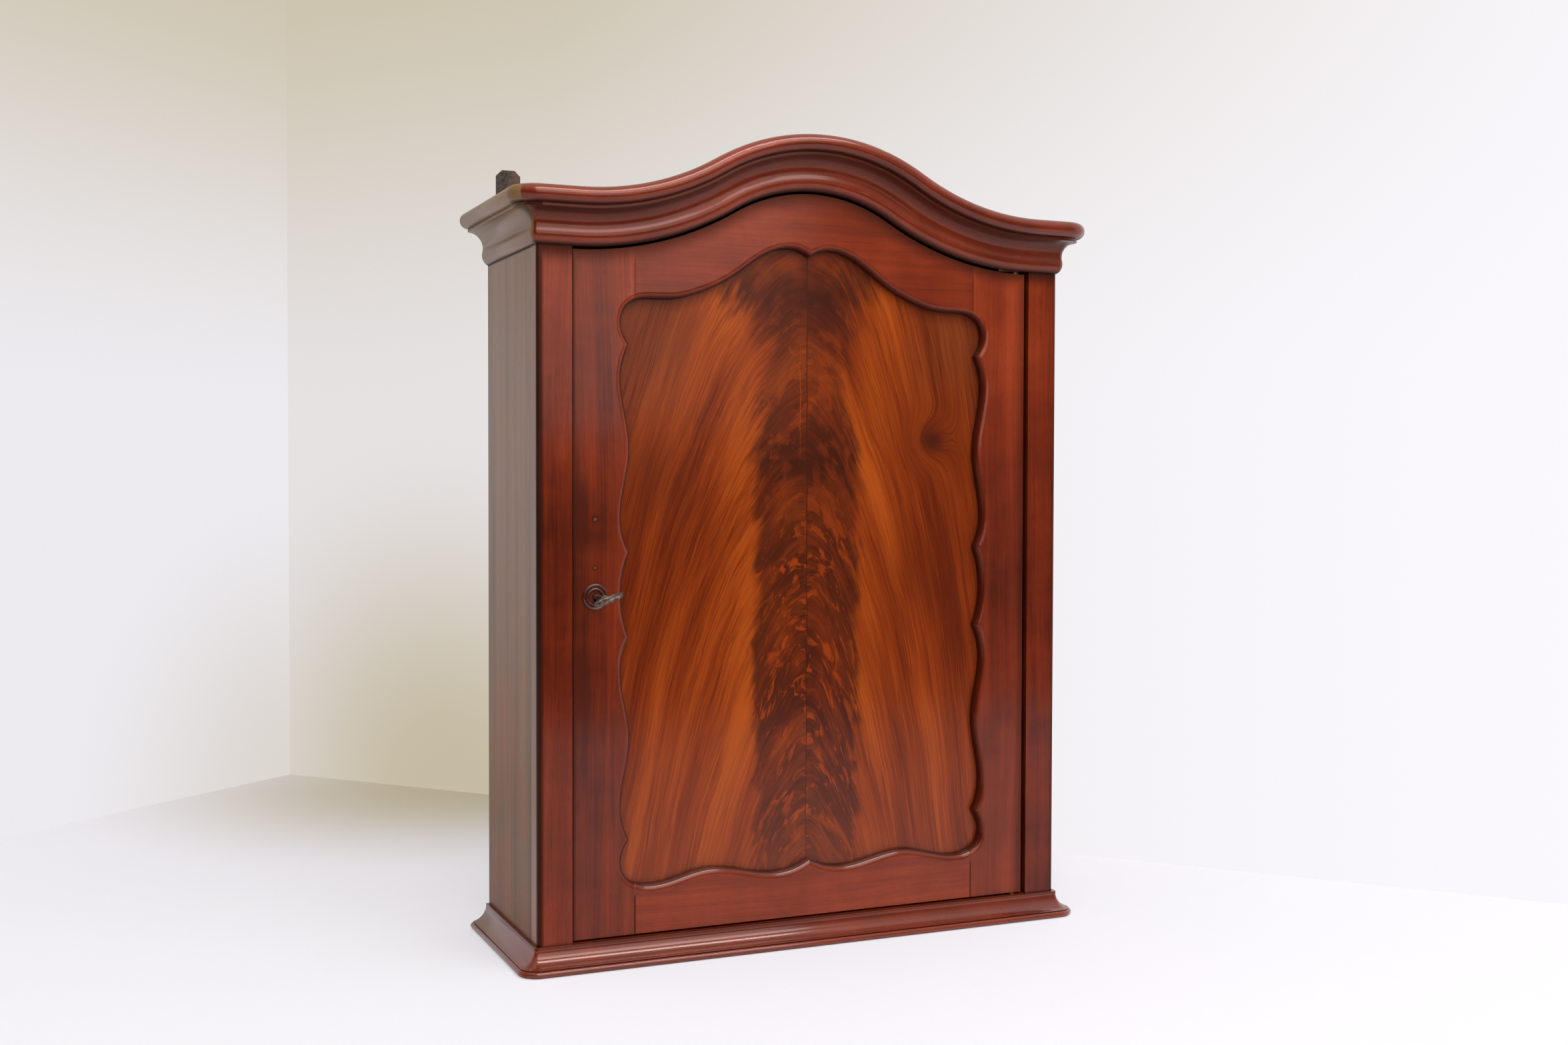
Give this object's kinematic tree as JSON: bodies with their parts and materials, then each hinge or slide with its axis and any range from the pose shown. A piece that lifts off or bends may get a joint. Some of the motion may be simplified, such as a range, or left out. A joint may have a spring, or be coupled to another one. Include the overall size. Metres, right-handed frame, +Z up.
{
  "type": "hanging wall cabinet",
  "caption": "Wall-hung mahogany cabinet with an arched moulded cornice, a scalloped panel door on pivot hinges, a key-worked bolt lock, inside shelves and hanging plates.",
  "frame": {"origin": "middle of the underside of the carcass, half way between the stile faces and the wall", "axes": "+X to the right as seen from the front, +Y towards the wall, +Z up"},
  "size_m": [0.7498, 0.2815, 0.9639],
  "materials": {
    "mahogany": "french polished",
    "flame_mahogany": "french polished veneer",
    "secondary_wood": "bare, aged",
    "roof_wood": "bare, dusty",
    "turned_wood": "polished",
    "iron": "aged",
    "brass": "aged"
  },
  "bodies": {
    "carcass": {"side_left": "mahogany", "side_right": "mahogany", "front_stile_left": "mahogany", "front_stile_right": "mahogany", "arch_rail": "mahogany", "bottom_rail": "mahogany", "bottom_board": "secondary_wood", "back_board_left": "secondary_wood", "back_board_middle": "secondary_wood", "back_board_right": "secondary_wood", "roof_board": "roof_wood", "cornice_front": "mahogany", "cornice_left": "mahogany", "cornice_right": "mahogany", "base_front": "mahogany", "base_left": "mahogany", "base_right": "mahogany", "shelf_lower": "secondary_wood", "shelf_upper": "secondary_wood", "shelf_cleat_lower_left": "secondary_wood", "shelf_cleat_lower_right": "secondary_wood", "shelf_cleat_upper_left": "secondary_wood", "shelf_cleat_upper_right": "secondary_wood", "door_stop": "secondary_wood", "strike_plate": "brass", "hanger_left": "iron", "hanger_right": "iron", "hanger_screws": "iron", "hinge_plate_bottom": "brass", "hinge_plate_top": "brass", "hinge_screws_carcass": "brass"},
    "door": {"door_stile_lock": "mahogany", "door_stile_hinge": "mahogany", "door_rail_top": "mahogany", "door_rail_bottom": "mahogany", "door_panel": "flame_mahogany", "panel_bead_bottom": "mahogany", "panel_bead_top": "mahogany", "panel_bead_left": "mahogany", "panel_bead_right": "mahogany", "hinge_leaf_bottom": "brass", "hinge_leaf_top": "brass", "hinge_screws_door": "brass", "lock_case": "iron", "lock_cover": "iron", "lock_spring": "iron", "lock_screws": "iron", "escutcheon": "turned_wood"},
    "bolt": {"lock_bolt": "iron"},
    "key": {"key": "iron"}
  },
  "joints": [
    {"name": "door_swing", "type": "hinge", "parent": "carcass", "child": "door", "pos_m": [0.284, -0.1, 0.424], "axis": [0, 0, 1], "range_deg": [0, 110]},
    {"name": "key_turn", "type": "hinge", "parent": "door", "child": "key", "pos_m": [-0.27125, -0.1, 0.424], "axis": [0, -1, 0], "range_deg": [0, 160]},
    {"name": "bolt_throw", "type": "slide", "parent": "door", "child": "bolt", "axis": [-1, 0, 0], "range_m": [0, 0.01]}
  ],
  "couplings": [
    {"joint": "bolt_throw", "follows": "key_turn", "m_per_rad": 0.003581}
  ]
}
